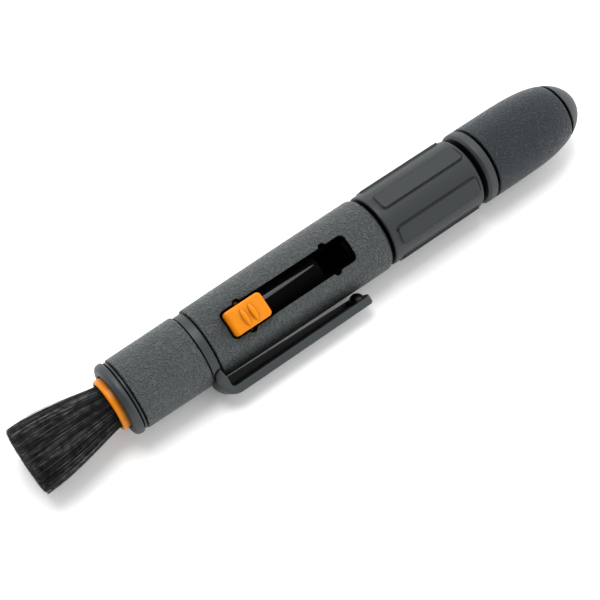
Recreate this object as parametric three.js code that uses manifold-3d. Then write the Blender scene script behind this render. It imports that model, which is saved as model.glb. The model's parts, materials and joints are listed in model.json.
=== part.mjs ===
// Lens cleaning pen with a retractable brush, a pocket clip and a capped cleaning tip.
//
// The pen is drawn about its own axis: +X from the brush to the cap, +Z out through the thumb slot.
// It is then rolled about that axis and lifted, so that it lies on a surface on its clip and its body.
// Lengths are in millimetres. A profile corner is [x, radius, softening].

import * as THREE from 'three';
import { mergeVertices } from 'three/addons/utils/BufferGeometryUtils.js';
import Module from 'manifold-3d';

const wasm = await Module();
wasm.setup();

// Fits: between pieces that touch, between pieces that slide, and beside a thin visible joint line.
const TOUCH = 0.3;
const SLIDE = 0.2;
const LINE = 0.12;

// Stations along the pen.
const BRUSH_TIP = -55.7;
const FERRULE_FRONT = -39.2;
const MOUTH = -37.9;
const MOUTH_REAR = -36.25;
const SLEEVE_FRONT = -35.45;
const SLEEVE_REAR = -22.2;
const BARREL_FRONT = -20.2;
const BARREL_REAR = 16.95;
const GRIP_FRONT = 17.3;
const GRIP_REAR = 38.1;
const RING_FRONT = 39.05;
const RING_REAR = 41.05;
const CAP_FRONT = 41.6;
const CAP_REAR = 60.5;
const END_FRONT = 60.95;
const END_TIP = 65.45;

// Radii of the outer shells and of the bores that run through them.
const SLEEVE_R = 6.88;
const BARREL_R = 7.18;
const GRIP_R = 7.0;
const CAP_R = 7.25;
const SHELL_BORE_R = 5.9;
const CORE_R = SHELL_BORE_R - TOUCH;
const CORE_BORE_R = 5.1;
const NECK_R = 4.9;
const CAP_BORE_R = 5.95;
const RECESS_R = 6.5;

// Thumb slot and what runs in it.
const SLOT_FRONT = -16.23;
const SLOT_REAR = 9.89;
const SLOT_HALF = 2.62;
const SLOT_CORNER = 0.95;
const BUTTON_FRONT = -15.95;
const BUTTON_REAR = -8.45;
const BUTTON_HALF = 2.4;
const BUTTON_TOP = 8.0;
const RIB_STATIONS = [-12.92, -11.25];
const DETENT_X = -12.45;
const BRUSH_TRAVEL = 18.1;

// Brush.
const TUFT_ROOT_R = 3.9;
const TUFT_SPREAD = 2.5;

// Grip pads.
const PAD_COUNT = 6;
const PAD_FRONT = 19.1;
const PAD_REAR = 37.0;
const PAD_HALF = 1.66;
const PAD_FLAT_R = 7.22;

// Clip. Its heights are measured out from the pen's axis.
const CLIP_TURN = THREE.MathUtils.degToRad(6);
const CLIP_FRONT = -22.25;
const CLIP_WALL_REAR = -20.1;
const CLIP_END = 9.95;
const CLIP_OUTER = 10.42;
const CLIP_INNER = 8.85;
const CLIP_END_HALF = 2.2;
const CLIP_ARM_HALF = 2.55;
const CLIP_ROOT_HALF = 4.4;

const ROUND = 32;
const SMALL_ROUND = 20;

function finish(color, roughness) {
  return new THREE.MeshStandardMaterial({ color, roughness, metalness: 0 });
}

const SLATE = 0x54595b;
const DARK_SLATE = 0x4b5052;
const BLACK = 0x161718;
const ORANGE = 0xf99420;

// Replaces each corner that has a softening by a short curve that starts that far before it.
function soften(corners, closed, steps = 2) {
  const points = [];
  corners.forEach(([x, r, cut = 0], i) => {
    const here = new THREE.Vector2(x, r);
    const isEnd = !closed && (i === 0 || i === corners.length - 1);
    if (cut === 0 || isEnd) {
      points.push(here);
      return;
    }
    const toward = (corner) => {
      const other = new THREE.Vector2(corner[0], corner[1]);
      return here.clone().add(other.sub(here).setLength(cut));
    };
    const before = toward(corners[(i + corners.length - 1) % corners.length]);
    const after = toward(corners[(i + 1) % corners.length]);
    points.push(...new THREE.QuadraticBezierCurve(before, here, after).getPoints(steps));
  });
  return points;
}

// A solid of revolution about X. A ring's profile closes on itself, any other ends on the axis.
function turned(corners, { ring = true, segments = ROUND, steps = 2 } = {}) {
  const outline = soften(corners, ring, steps);
  if (THREE.ShapeUtils.area(outline) > 0) {
    outline.reverse();
  }
  if (ring) {
    outline.push(outline[0].clone());
  }
  const profile = outline.map((point) => new THREE.Vector2(point.y, point.x));
  return new THREE.LatheGeometry(profile, segments).rotateZ(-Math.PI / 2);
}

function disc(x0, x1, radius, segments = SMALL_ROUND) {
  return turned([[x0, 0], [x0, radius], [x1, radius], [x1, 0]], { ring: false, segments });
}

function tube(x0, x1, bore, radius, segments = SMALL_ROUND) {
  return turned([[x0, bore], [x0, radius], [x1, radius], [x1, bore]], { segments });
}

// A box between two corners.
function block(low, high) {
  const size = high.map((value, i) => value - low[i]);
  const centre = high.map((value, i) => (value + low[i]) / 2);
  return new THREE.BoxGeometry(...size).translate(...centre);
}

// An outline in the X-Y plane, extruded along Z between two heights.
function prism(outline, z0, z1) {
  const shape = new THREE.Shape(outline);
  const options = { depth: z1 - z0, bevelEnabled: false, curveSegments: 6 };
  return new THREE.ExtrudeGeometry(shape, options).translate(0, 0, z0);
}

// An outline in the X-Z plane, extruded across the pen to both sides of the middle.
function sideProfile(outline, halfWidth) {
  return prism(outline, -halfWidth, halfWidth).rotateX(Math.PI / 2);
}

function roundedRectangle(x0, x1, halfWidth, radius) {
  const corners = [
    [x0, -halfWidth, radius],
    [x1, -halfWidth, radius],
    [x1, halfWidth, radius],
    [x0, halfWidth, radius],
  ];
  return soften(corners, true, 4);
}

function toSolid(geometry) {
  const bare = geometry.clone();
  bare.deleteAttribute('normal');
  bare.deleteAttribute('uv');
  const merged = mergeVertices(bare, 1e-4);
  const index = merged.index.array;
  const triVerts = [];
  for (let i = 0; i < index.length; i += 3) {
    const [a, b, c] = index.slice(i, i + 3);
    if (a !== b && b !== c && c !== a) {
      triVerts.push(a, b, c);
    }
  }
  const mesh = new wasm.Mesh({
    numProp: 3,
    vertProperties: new Float32Array(merged.attributes.position.array),
    triVerts: new Uint32Array(triVerts),
  });
  return new wasm.Manifold(mesh);
}

function toGeometry(solid) {
  const mesh = solid.getMesh();
  const geometry = new THREE.BufferGeometry();
  geometry.setAttribute('position', new THREE.BufferAttribute(mesh.vertProperties, 3));
  geometry.setIndex(new THREE.BufferAttribute(mesh.triVerts, 1));
  return geometry;
}

function join(...geometries) {
  return toGeometry(geometries.map(toSolid).reduce((sum, solid) => sum.add(solid)));
}

function cut(geometry, ...tools) {
  return toGeometry(tools.map(toSolid).reduce((rest, tool) => rest.subtract(tool), toSolid(geometry)));
}

function common(a, b) {
  return toGeometry(toSolid(a).intersect(toSolid(b)));
}

// The cap and its end plug share one bullet-shaped outline.
function bulletRadius(x) {
  const CURVE_START = 46;
  const FULLNESS = 3.6;
  const along = Math.max(0, (x - CURVE_START) / (END_TIP - CURVE_START));
  return CAP_R * Math.sqrt(Math.max(0, 1 - along ** FULLNESS));
}

function bulletCorners(x0, x1, steps) {
  return Array.from({ length: steps + 1 }, (_, i) => {
    const x = x0 + ((x1 - x0) * i) / steps;
    return [x, bulletRadius(x)];
  });
}

// --- Front of the barrel ---------------------------------------------------------------------

// The rounded mouth that the brush slides through, with the spigot that holds it in the sleeve.
function noseBushing() {
  const SPIGOT_REAR = -30.3;
  return turned([
    [MOUTH, CORE_BORE_R, 0.3],
    [MOUTH, SLEEVE_R, 1.1],
    [MOUTH_REAR, SLEEVE_R, 0.45],
    [MOUTH_REAR, CORE_R],
    [SPIGOT_REAR, CORE_R],
    [SPIGOT_REAR, CORE_BORE_R],
  ]);
}

function spacerRing() {
  return tube(MOUTH_REAR + SLIDE, SLEEVE_FRONT - SLIDE, SHELL_BORE_R, RECESS_R, ROUND);
}

function frontSleeve() {
  return turned([
    [SLEEVE_FRONT, SHELL_BORE_R],
    [SLEEVE_FRONT, SLEEVE_R - 0.13, 0.3],
    [SLEEVE_REAR, SLEEVE_R, 0.35],
    [SLEEVE_REAR, SHELL_BORE_R],
  ]);
}

// --- Clip ------------------------------------------------------------------------------------

const CLIP_RING_FRONT = SLEEVE_REAR + SLIDE;
const CLIP_RING_REAR = BARREL_FRONT - SLIDE;

function clipRing() {
  return tube(CLIP_RING_FRONT, CLIP_RING_REAR, SHELL_BORE_R, RECESS_R, ROUND);
}

// Drawn pointing up, with its heights along +Z, and turned to its own side of the pen afterwards.
function clipArm() {
  const ROOT_Z = 4.6;
  const WAIST_Z = 5.4;
  const ARM_TAPER = 0.3;
  const NUB_Z = 7.4;
  const NUB_FRONT = 6.66;
  const NUB_REAR = 9.12;
  const bent = soften([
    [CLIP_FRONT, ROOT_Z],
    [CLIP_WALL_REAR, ROOT_Z],
    [CLIP_WALL_REAR, CLIP_INNER, 0.9],
    [NUB_FRONT - 0.5, CLIP_INNER],
    [NUB_FRONT, NUB_Z + 0.6],
    [NUB_FRONT + 0.2, NUB_Z],
    [NUB_REAR - 0.1, NUB_Z],
    [NUB_REAR, NUB_Z + 0.9],
    [CLIP_END, CLIP_INNER + 0.3],
    [CLIP_END, CLIP_OUTER, 0.4],
    [CLIP_FRONT, CLIP_OUTER, 3.2],
  ], true, 4);
  const strip = sideProfile(bent, CLIP_ROOT_HALF + 0.2);

  const plan = prism(soften([
    [CLIP_FRONT - 1, -CLIP_ARM_HALF],
    [CLIP_WALL_REAR, -CLIP_ARM_HALF],
    [CLIP_END, -CLIP_END_HALF, 0.7],
    [CLIP_END, CLIP_END_HALF, 0.7],
    [CLIP_WALL_REAR, CLIP_ARM_HALF],
    [CLIP_FRONT - 1, CLIP_ARM_HALF],
  ], true), NUB_Z - 1, CLIP_OUTER + 1);

  // The knuckle straddles the clip ring and narrows outwards to the arm.
  const knuckleHalf = [
    [CLIP_ROOT_HALF, ROOT_Z - 1],
    [CLIP_ROOT_HALF, WAIST_Z],
    [CLIP_ARM_HALF, CLIP_INNER],
    [CLIP_ARM_HALF - ARM_TAPER, CLIP_OUTER + 1],
  ];
  const knuckleSection = new THREE.Shape([
    ...knuckleHalf.map(([y, z]) => new THREE.Vector2(y, z)),
    ...knuckleHalf.map(([y, z]) => new THREE.Vector2(-y, z)).reverse(),
  ]);
  const knuckleLength = CLIP_WALL_REAR - CLIP_FRONT + 1;
  const knuckle = new THREE.ExtrudeGeometry(knuckleSection, { depth: knuckleLength, bevelEnabled: false })
    .rotateX(Math.PI / 2)
    .rotateZ(Math.PI / 2)
    .translate(CLIP_FRONT - 0.5, 0, 0);

  // What the clip keeps clear of: the clip ring under the knuckle, and the shells beside it.
  const CLEAR_OF_SHELLS = 7.15;
  const CLEAR_OF_RING = RECESS_R + SLIDE;
  const keepOut = turned([
    [CLIP_FRONT - 2, 0],
    [CLIP_FRONT - 2, CLEAR_OF_SHELLS],
    [CLIP_RING_FRONT + 0.05, CLEAR_OF_SHELLS],
    [CLIP_RING_FRONT + 0.05, CLEAR_OF_RING],
    [CLIP_RING_REAR - 0.05, CLEAR_OF_RING],
    [CLIP_RING_REAR - 0.05, CLEAR_OF_SHELLS],
    [NUB_FRONT - 2, CLEAR_OF_SHELLS],
    [NUB_FRONT - 2, 0],
  ], { ring: false });
  return cut(common(strip, join(plan, knuckle)), keepOut);
}

// --- Barrel, core and slot -------------------------------------------------------------------

// The slot, with a notch in each long edge at both ends of the button's travel.
function slotCutter() {
  const NOTCH_R = 0.6;
  const FLOOR = 3.5;
  const CEILING = 9;
  const slot = prism(roundedRectangle(SLOT_FRONT, SLOT_REAR, SLOT_HALF, SLOT_CORNER), FLOOR, CEILING);
  const notches = [];
  for (const x of [DETENT_X, DETENT_X + BRUSH_TRAVEL]) {
    for (const side of [-1, 1]) {
      const notch = new THREE.CylinderGeometry(NOTCH_R, NOTCH_R, CEILING - FLOOR, 12)
        .rotateX(Math.PI / 2)
        .translate(x, side * (SLOT_HALF - 0.05), (FLOOR + CEILING) / 2);
      notches.push(notch);
    }
  }
  return join(slot, ...notches);
}

// The barrel swells a little from the sleeve to the grip.
function mainBarrel() {
  const SWELL_MIDDLE = -5;
  const SWELL_MIDDLE_R = 7.05;
  const SWELL_END = 7.5;
  const shell = turned([
    [BARREL_FRONT, SHELL_BORE_R],
    [BARREL_FRONT, SLEEVE_R, 0.3],
    [SWELL_MIDDLE, SWELL_MIDDLE_R],
    [SWELL_END, BARREL_R],
    [BARREL_REAR, BARREL_R, 1.5],
    [BARREL_REAR, SHELL_BORE_R],
  ]);
  return cut(shell, slotCutter());
}

// The tube that all the shells are threaded onto, open under the thumb slot.
function coreTube() {
  const LEDGE = 0.55;
  const FRONT = -30;
  const REAR = 30;
  const low = [SLOT_FRONT + LEDGE, -SLOT_HALF + LEDGE, 0];
  const high = [SLOT_REAR - LEDGE, SLOT_HALF - LEDGE, CORE_R + 1];
  return cut(tube(FRONT, REAR, CORE_BORE_R, CORE_R), block(low, high));
}

function gripCollar() {
  const parts = [
    turned([
      [GRIP_FRONT, SHELL_BORE_R],
      [GRIP_FRONT, GRIP_R, 0.4],
      [GRIP_REAR, GRIP_R, 0.8],
      [GRIP_REAR, SHELL_BORE_R],
    ]),
  ];
  for (let i = 0; i < PAD_COUNT; i += 1) {
    const angle = ((i + 0.5) * 2 * Math.PI) / PAD_COUNT;
    const pad = prism(roundedRectangle(PAD_FRONT, PAD_REAR, PAD_HALF, 0.5), GRIP_R - 0.6, PAD_FLAT_R);
    parts.push(pad.rotateX(angle));
  }
  return join(...parts);
}

// --- Neck, twist ring and cleaning tip -------------------------------------------------------

const GROOVE_FRONT = 45.65;
const GROOVE_REAR = 46.35;
const NECK_END = 47;
const POST_R = 1.3;

// Closes the rear of the core tube and carries the grip, the twist ring and the tip.
function neck() {
  const PLUG_FRONT = 24;
  const SHOULDER = 30.3;
  const SOCKET_END = 41;
  return turned([
    [PLUG_FRONT, 0],
    [PLUG_FRONT, CORE_BORE_R - TOUCH],
    [SHOULDER, CORE_BORE_R - TOUCH],
    [SHOULDER, CORE_R],
    [GRIP_REAR, CORE_R],
    [GRIP_REAR, NECK_R],
    [GROOVE_FRONT, NECK_R],
    [GROOVE_FRONT, NECK_R - 0.35],
    [GROOVE_REAR, NECK_R - 0.35],
    [GROOVE_REAR, NECK_R],
    [NECK_END, NECK_R],
    [NECK_END, POST_R + TOUCH],
    [SOCKET_END, POST_R + TOUCH],
    [SOCKET_END, 0],
  ], { ring: false, segments: SMALL_ROUND });
}

function gripSeal() {
  return tube(GRIP_REAR + SLIDE, RING_FRONT - SLIDE, NECK_R + TOUCH, RECESS_R, ROUND);
}

const SPIGOT_R = CAP_BORE_R - SLIDE;

// The cap seats on the spigot of this ring, and the two turn together on the neck.
function twistRing() {
  const SPIGOT_END = 45.5;
  return turned([
    [RING_FRONT, NECK_R + TOUCH],
    [RING_FRONT, CAP_R - 0.5, 0.1],
    [RING_FRONT + 0.55, CAP_R, 0.3],
    [RING_REAR, CAP_R, 0.15],
    [RING_REAR, SPIGOT_R],
    [SPIGOT_END, SPIGOT_R, 0.2],
    [SPIGOT_END, NECK_R + TOUCH],
  ]);
}

function retainingRing() {
  return tube(GROOVE_FRONT + LINE, GROOVE_REAR - LINE, NECK_R - 0.15, 5.5);
}

function capSeal() {
  return tube(RING_REAR + LINE, CAP_FRONT - LINE, SPIGOT_R + SLIDE, 6.75, ROUND);
}

const BALL_X = 49.5;
const HEAD_FRONT = 54.1;
const PAD_R = 3.6;

// The post ends in a ball, on which the cleaning head rocks.
function tipPost() {
  const BALL_R = 1.5;
  const POST_START = 41.3;
  const TAPER_FRONT = NECK_END + 0.4;
  const TAPER_REAR = NECK_END + 0.8;
  const lead = Math.acos(POST_R / 2 / BALL_R);
  const ball = Array.from({ length: 7 }, (_, i) => {
    const angle = -lead + ((lead + Math.PI / 2) * i) / 6;
    return [BALL_X + BALL_R * Math.sin(angle), BALL_R * Math.cos(angle)];
  });
  ball[ball.length - 1][1] = 0;
  return turned([
    [POST_START, 0],
    [POST_START, POST_R],
    [TAPER_FRONT, POST_R],
    [TAPER_REAR, ball[0][1]],
    ...ball,
  ], { ring: false, segments: SMALL_ROUND });
}

function tipHead() {
  const CAVITY_R = 2.1;
  const CAVITY_END = BALL_X + 1.9;
  const HEAD_REAR = BALL_X - 1.4;
  const REAR_R = 2.8;
  const WAIST_X = 51.2;
  const WAIST_R = 2.9;
  const RIM_X = 53;
  return turned([
    [CAVITY_END, 0],
    [CAVITY_END, CAVITY_R],
    [HEAD_REAR, CAVITY_R],
    [HEAD_REAR, REAR_R, 0.3],
    [WAIST_X, WAIST_R, 0.5],
    [RIM_X, PAD_R, 0.4],
    [HEAD_FRONT, PAD_R],
    [HEAD_FRONT, 0],
  ], { ring: false, segments: SMALL_ROUND });
}

function tipPad() {
  const THICKNESS = 0.7;
  return disc(HEAD_FRONT + TOUCH, HEAD_FRONT + TOUCH + THICKNESS, PAD_R);
}

// --- Cap -------------------------------------------------------------------------------------

const PLUG_SPIGOT_R = 4.6;
const LIP_FRONT = 57.9;

function capShell() {
  const outer = bulletCorners(CAP_FRONT + 4.4, CAP_REAR, 8);
  return turned([
    [CAP_FRONT, CAP_BORE_R],
    [CAP_FRONT, CAP_R, 0.2],
    ...outer,
    [CAP_REAR, PLUG_SPIGOT_R + TOUCH],
    [LIP_FRONT, PLUG_SPIGOT_R + TOUCH],
    [LIP_FRONT, CAP_BORE_R],
  ]);
}

const LINER_END = LIP_FRONT - 0.4;
const LINER_BORE_R = 5.1;

// The cup inside the cap that holds the carbon sponge in front of the tip.
function capLiner() {
  const LINER_FRONT = 46.7;
  const FLOOR = 0.55;
  return turned([
    [LINER_END, 0],
    [LINER_END, CAP_BORE_R - TOUCH],
    [LINER_FRONT, CAP_BORE_R - TOUCH],
    [LINER_FRONT, LINER_BORE_R],
    [LINER_END - FLOOR, LINER_BORE_R],
    [LINER_END - FLOOR, 0],
  ], { ring: false, segments: SMALL_ROUND });
}

function carbonSponge() {
  return disc(LINER_END - 1.5, LINER_END - 0.8, LINER_BORE_R - TOUCH);
}

function endPlug() {
  const LAST_STATION = END_TIP - 0.15;
  const dome = bulletCorners(END_FRONT, END_TIP, 6);
  dome.splice(-1, 0, [LAST_STATION, bulletRadius(LAST_STATION)]);
  dome[dome.length - 1][1] = 0;
  return turned([
    [LIP_FRONT, 0],
    [LIP_FRONT, PLUG_SPIGOT_R],
    [END_FRONT, PLUG_SPIGOT_R],
    ...dome,
  ], { ring: false });
}

function plugGasket() {
  return tube(CAP_REAR + LINE, END_FRONT - LINE, PLUG_SPIGOT_R + TOUCH, 5.55, ROUND);
}

// --- Brush carriage --------------------------------------------------------------------------

const STEM_FRONT = -15.2;
const STEM_REAR = -9.2;
const STEM_HALF = 1.6;
const STEM_FLOOR = 3.2;

// Lens-shaped rib across the top of the button.
function thumbRib(x) {
  const HALF_LENGTH = 1.8;
  const HALF_WIDTH = 0.5;
  const HEIGHT = 0.2;
  const bow = (side) => new THREE.QuadraticBezierCurve(
    new THREE.Vector2(x, -HALF_LENGTH * side),
    new THREE.Vector2(x + 2 * HALF_WIDTH * side, 0),
    new THREE.Vector2(x, HALF_LENGTH * side),
  ).getPoints(5).slice(0, -1);
  return prism([...bow(1), ...bow(-1)], BUTTON_TOP - TOUCH, BUTTON_TOP + HEIGHT);
}

function thumbSlider() {
  const BUTTON_FLOOR = CORE_R + SLIDE;
  const outline = roundedRectangle(BUTTON_FRONT, BUTTON_REAR, BUTTON_HALF, 0.8);
  const plan = prism(outline, BUTTON_FLOOR - 1, BUTTON_TOP + 1);
  const side = sideProfile(soften([
    [BUTTON_FRONT, BUTTON_FLOOR],
    [BUTTON_REAR, BUTTON_FLOOR],
    [BUTTON_REAR, BUTTON_TOP, 0.4],
    [BUTTON_FRONT, BUTTON_TOP, 0.9],
  ], true), BUTTON_HALF + 1);
  const stem = block([STEM_FRONT, -STEM_HALF, STEM_FLOOR], [STEM_REAR, STEM_HALF, BUTTON_FLOOR + 0.1]);
  const ribs = RIB_STATIONS.map(thumbRib);
  const CHANNEL_HALF = 0.55;
  const CHANNEL_TOP = BUTTON_FLOOR + 0.65;
  const channel = block(
    [DETENT_X - CHANNEL_HALF, -BUTTON_HALF - 1, BUTTON_FLOOR - 0.1],
    [DETENT_X + CHANNEL_HALF, BUTTON_HALF + 1, CHANNEL_TOP],
  );
  return cut(join(common(plan, side), stem, ...ribs), channel);
}

// A springy bar through the button, whose ends drop into the notches of the slot.
function detentSpring() {
  const HALF_WIDTH = 0.38;
  const HALF_LENGTH = 2.98;
  const THICKNESS = 0.32;
  const FLOOR = CORE_R + SLIDE + 0.15;
  const bar = roundedRectangle(DETENT_X - HALF_WIDTH, DETENT_X + HALF_WIDTH, HALF_LENGTH, 0.3);
  return prism(bar, FLOOR, FLOOR + THICKNESS);
}

const FERRULE_REAR = -36;

function brushCarrier() {
  const REAR = 4;
  const BODY_R = 4.75;
  const STUB_FRONT = FERRULE_REAR - 1.1;
  const STUB_R = 3.6;
  const rod = turned([
    [STUB_FRONT, 0],
    [STUB_FRONT, STUB_R],
    [FERRULE_REAR + TOUCH, STUB_R],
    [FERRULE_REAR + TOUCH, BODY_R],
    [REAR, BODY_R, 0.3],
    [REAR, 0],
  ], { ring: false, segments: SMALL_ROUND });
  const pocket = block(
    [STEM_FRONT - SLIDE, -STEM_HALF - SLIDE, STEM_FLOOR - TOUCH],
    [STEM_REAR + SLIDE, STEM_HALF + SLIDE, CORE_R],
  );
  return cut(rod, pocket);
}

function brushFerrule() {
  const FERRULE_R = 4.85;
  const CUP_R = TUFT_ROOT_R + TOUCH;
  const CUP_FLOOR = FERRULE_FRONT + 1.1;
  const WEB = 0.7;
  return turned([
    [CUP_FLOOR, 0],
    [CUP_FLOOR, CUP_R],
    [FERRULE_FRONT, CUP_R],
    [FERRULE_FRONT, FERRULE_R, 0.35],
    [FERRULE_REAR, FERRULE_R],
    [FERRULE_REAR, TUFT_ROOT_R],
    [CUP_FLOOR + WEB, TUFT_ROOT_R],
    [CUP_FLOOR + WEB, 0],
  ], { ring: false, segments: SMALL_ROUND });
}

// The tuft flares from the ferrule to a slightly domed tip.
function bristles() {
  const ROOT = FERRULE_FRONT + 0.8;
  const FLARE_START = -39.1;
  const FLARE_LENGTH = 15;
  const TIP_R = 5.2;
  const STEPS = 8;
  const corners = [[ROOT, 0], [ROOT, TUFT_ROOT_R]];
  for (let i = 0; i <= STEPS; i += 1) {
    const along = i / STEPS;
    const flare = TUFT_SPREAD * Math.sin((along * Math.PI) / 2) ** 1.2;
    corners.push([FLARE_START - FLARE_LENGTH * along, TUFT_ROOT_R + flare]);
  }
  corners.push([BRUSH_TIP + 0.5, TUFT_ROOT_R + TUFT_SPREAD]);
  corners.push([BRUSH_TIP, TIP_R]);
  corners.push([BRUSH_TIP, 0]);
  return turned(corners, { ring: false, segments: SMALL_ROUND });
}

// --- Assembly --------------------------------------------------------------------------------

const pen = new THREE.Group();

function place(name, geometry, material, parent = pen) {
  const mesh = new THREE.Mesh(geometry, material);
  mesh.name = name;
  parent.add(mesh);
}

place('nose_bushing', noseBushing(), finish(DARK_SLATE, 0.5));
place('spacer_ring', spacerRing(), finish(DARK_SLATE, 0.5));
place('front_sleeve', frontSleeve(), finish(SLATE, 0.65));
place('clip_ring', clipRing(), finish(DARK_SLATE, 0.5));
place('main_barrel', mainBarrel(), finish(SLATE, 0.65));
place('core_tube', coreTube(), finish(BLACK, 0.45));
place('grip_collar', gripCollar(), finish(SLATE, 0.5));
place('neck', neck(), finish(BLACK, 0.4));
place('grip_seal', gripSeal(), finish(BLACK, 0.8));
place('retaining_ring', retainingRing(), finish(BLACK, 0.4));
place('tip_post', tipPost(), finish(BLACK, 0.4));

place('thumb_slider', thumbSlider(), finish(ORANGE, 0.4));
place('detent_spring', detentSpring(), finish(ORANGE, 0.4));
place('brush_carrier', brushCarrier(), finish(BLACK, 0.2));
place('brush_ferrule', brushFerrule(), finish(ORANGE, 0.4));
place('bristles', bristles(), finish(BLACK, 0.8));

place('twist_ring', twistRing(), finish(DARK_SLATE, 0.5));
place('cap_seal', capSeal(), finish(BLACK, 0.8));

place('cap_shell', capShell(), finish(SLATE, 0.6));
place('cap_liner', capLiner(), finish(BLACK, 0.6));
place('carbon_sponge', carbonSponge(), finish(BLACK, 0.95));
place('end_plug', endPlug(), finish(DARK_SLATE, 0.55));
place('plug_gasket', plugGasket(), finish(BLACK, 0.8));

place('tip_head', tipHead(), finish(BLACK, 0.6));
place('tip_pad', tipPad(), finish(BLACK, 0.95));

const clipSide = new THREE.Group();
clipSide.rotation.x = Math.PI / 2 + CLIP_TURN;
pen.add(clipSide);
place('clip_arm', clipArm(), finish(DARK_SLATE, 0.5), clipSide);

// The pen lies on one long edge of its clip arm and on the near edge of the grip pad beside it.
const PAD_REST_R = 7.35;
const cornerDistance = Math.hypot(CLIP_OUTER, CLIP_ARM_HALF);
const cornerTurn = Math.atan2(CLIP_ARM_HALF, CLIP_OUTER);
const downTurn = CLIP_TURN + cornerTurn + Math.acos(PAD_REST_R / cornerDistance);
pen.rotation.x = Math.PI / 2 - downTurn;

// The frame's origin is at the bottom centre of the box round the whole pen.
const part = new THREE.Group();
part.add(pen);
const bounds = new THREE.Box3().setFromObject(part, true);
pen.position.set(
  -(bounds.min.x + bounds.max.x) / 2,
  -(bounds.min.y + bounds.max.y) / 2,
  -bounds.min.z,
);

export default part;
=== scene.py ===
"""A lens cleaning pen lying on its clip, with the brush out and the cap on.

Shapes are worked out in the pen's own axes, in millimetres: x along the pen, z out through the
thumb slot, and y so that the clip is on its negative side. PEN_TO_FRAME turns them into the frame.
"""
import json
import math
from typing import NamedTuple

import bmesh
import bpy
import numpy as np
from mathutils import Matrix, Vector

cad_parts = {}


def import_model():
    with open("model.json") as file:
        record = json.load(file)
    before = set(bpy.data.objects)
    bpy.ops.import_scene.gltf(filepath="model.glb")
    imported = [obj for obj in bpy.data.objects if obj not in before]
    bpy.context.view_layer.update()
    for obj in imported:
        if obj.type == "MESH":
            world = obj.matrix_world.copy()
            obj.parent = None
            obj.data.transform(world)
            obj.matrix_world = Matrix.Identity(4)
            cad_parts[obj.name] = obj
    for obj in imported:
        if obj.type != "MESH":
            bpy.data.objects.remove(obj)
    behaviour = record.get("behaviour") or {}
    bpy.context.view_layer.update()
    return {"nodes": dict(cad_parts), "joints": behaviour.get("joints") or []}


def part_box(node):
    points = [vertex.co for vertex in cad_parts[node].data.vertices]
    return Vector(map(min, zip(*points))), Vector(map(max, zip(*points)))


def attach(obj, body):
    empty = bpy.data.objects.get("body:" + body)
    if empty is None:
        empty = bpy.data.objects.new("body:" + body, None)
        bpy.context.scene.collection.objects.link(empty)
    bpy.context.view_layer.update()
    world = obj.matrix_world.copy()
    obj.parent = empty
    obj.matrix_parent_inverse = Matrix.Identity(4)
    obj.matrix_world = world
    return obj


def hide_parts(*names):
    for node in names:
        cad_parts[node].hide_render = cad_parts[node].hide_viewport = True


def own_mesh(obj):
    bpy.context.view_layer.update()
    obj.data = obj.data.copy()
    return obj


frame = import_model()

SEED = 7
MM = 0.001
JOINTS = {joint["name"]: joint for joint in frame["joints"]}

# The clip points this far round from the pen's own -y, away from the slot.
CLIP_TURN = math.radians(6)
AXIS_POINT = Vector(JOINTS["cap_twist"]["pos_m"])
HINGE_AXIS = JOINTS["clip_flex"]["axis"]
ROLL = math.atan2(HINGE_AXIS[1], -HINGE_AXIS[2]) - CLIP_TURN
PEN_TO_FRAME = (
    Matrix.Translation((0, AXIS_POINT.y, AXIS_POINT.z))
    @ Matrix.Rotation(ROLL, 4, "X")
    @ Matrix.Scale(MM, 4)
)
FRAME_TO_PEN = PEN_TO_FRAME.inverted()
CLIP_TO_PEN = Matrix.Rotation(math.pi / 2 + CLIP_TURN, 3, "X")
TRAVEL = JOINTS["brush_slide"]["range_m"][1] / MM

# Parts that touch are this far apart, as in the CAD model.
TOUCH = 0.3


# --- Sizes read from the frame ----------------------------

def span(node):
    """Where a CAD node starts and ends along the pen."""
    low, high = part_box(node)
    return low.x / MM, high.x / MM


def radii(node):
    """The smallest and largest distance of a CAD node's corners from the pen's axis."""
    points = [FRAME_TO_PEN @ vertex.co for vertex in frame["nodes"][node].data.vertices]
    distances = [math.hypot(point.y, point.z) for point in points]
    return min(distances), max(distances)


# --- Mesh helpers -----------------------------------------

WELD_DISTANCE = 0.0005
SHORTEST_EDGE = 0.0002


def smooth_step(t):
    t = min(1.0, max(0.0, t))
    return t * t * (3 - 2 * t)


def soften(corners, closed, steps=6):
    """Replaces each [x, r, cut] corner by a short curve that starts a distance cut before it."""
    points = []
    count = len(corners)
    for i, corner in enumerate(corners):
        here = np.array(corner[:2], float)
        cut = corner[2] if len(corner) > 2 else 0
        if cut == 0 or (not closed and i in (0, count - 1)):
            points.append(tuple(here))
            continue
        ends = []
        for other in (corners[i - 1], corners[(i + 1) % count]):
            away = np.array(other[:2], float) - here
            ends.append(here + away * cut / np.linalg.norm(away))
        for t in np.linspace(0, 1, steps + 1):
            points.append(tuple((1 - t) ** 2 * ends[0] + 2 * t * (1 - t) * here + t * t * ends[1]))
    return points


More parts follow.
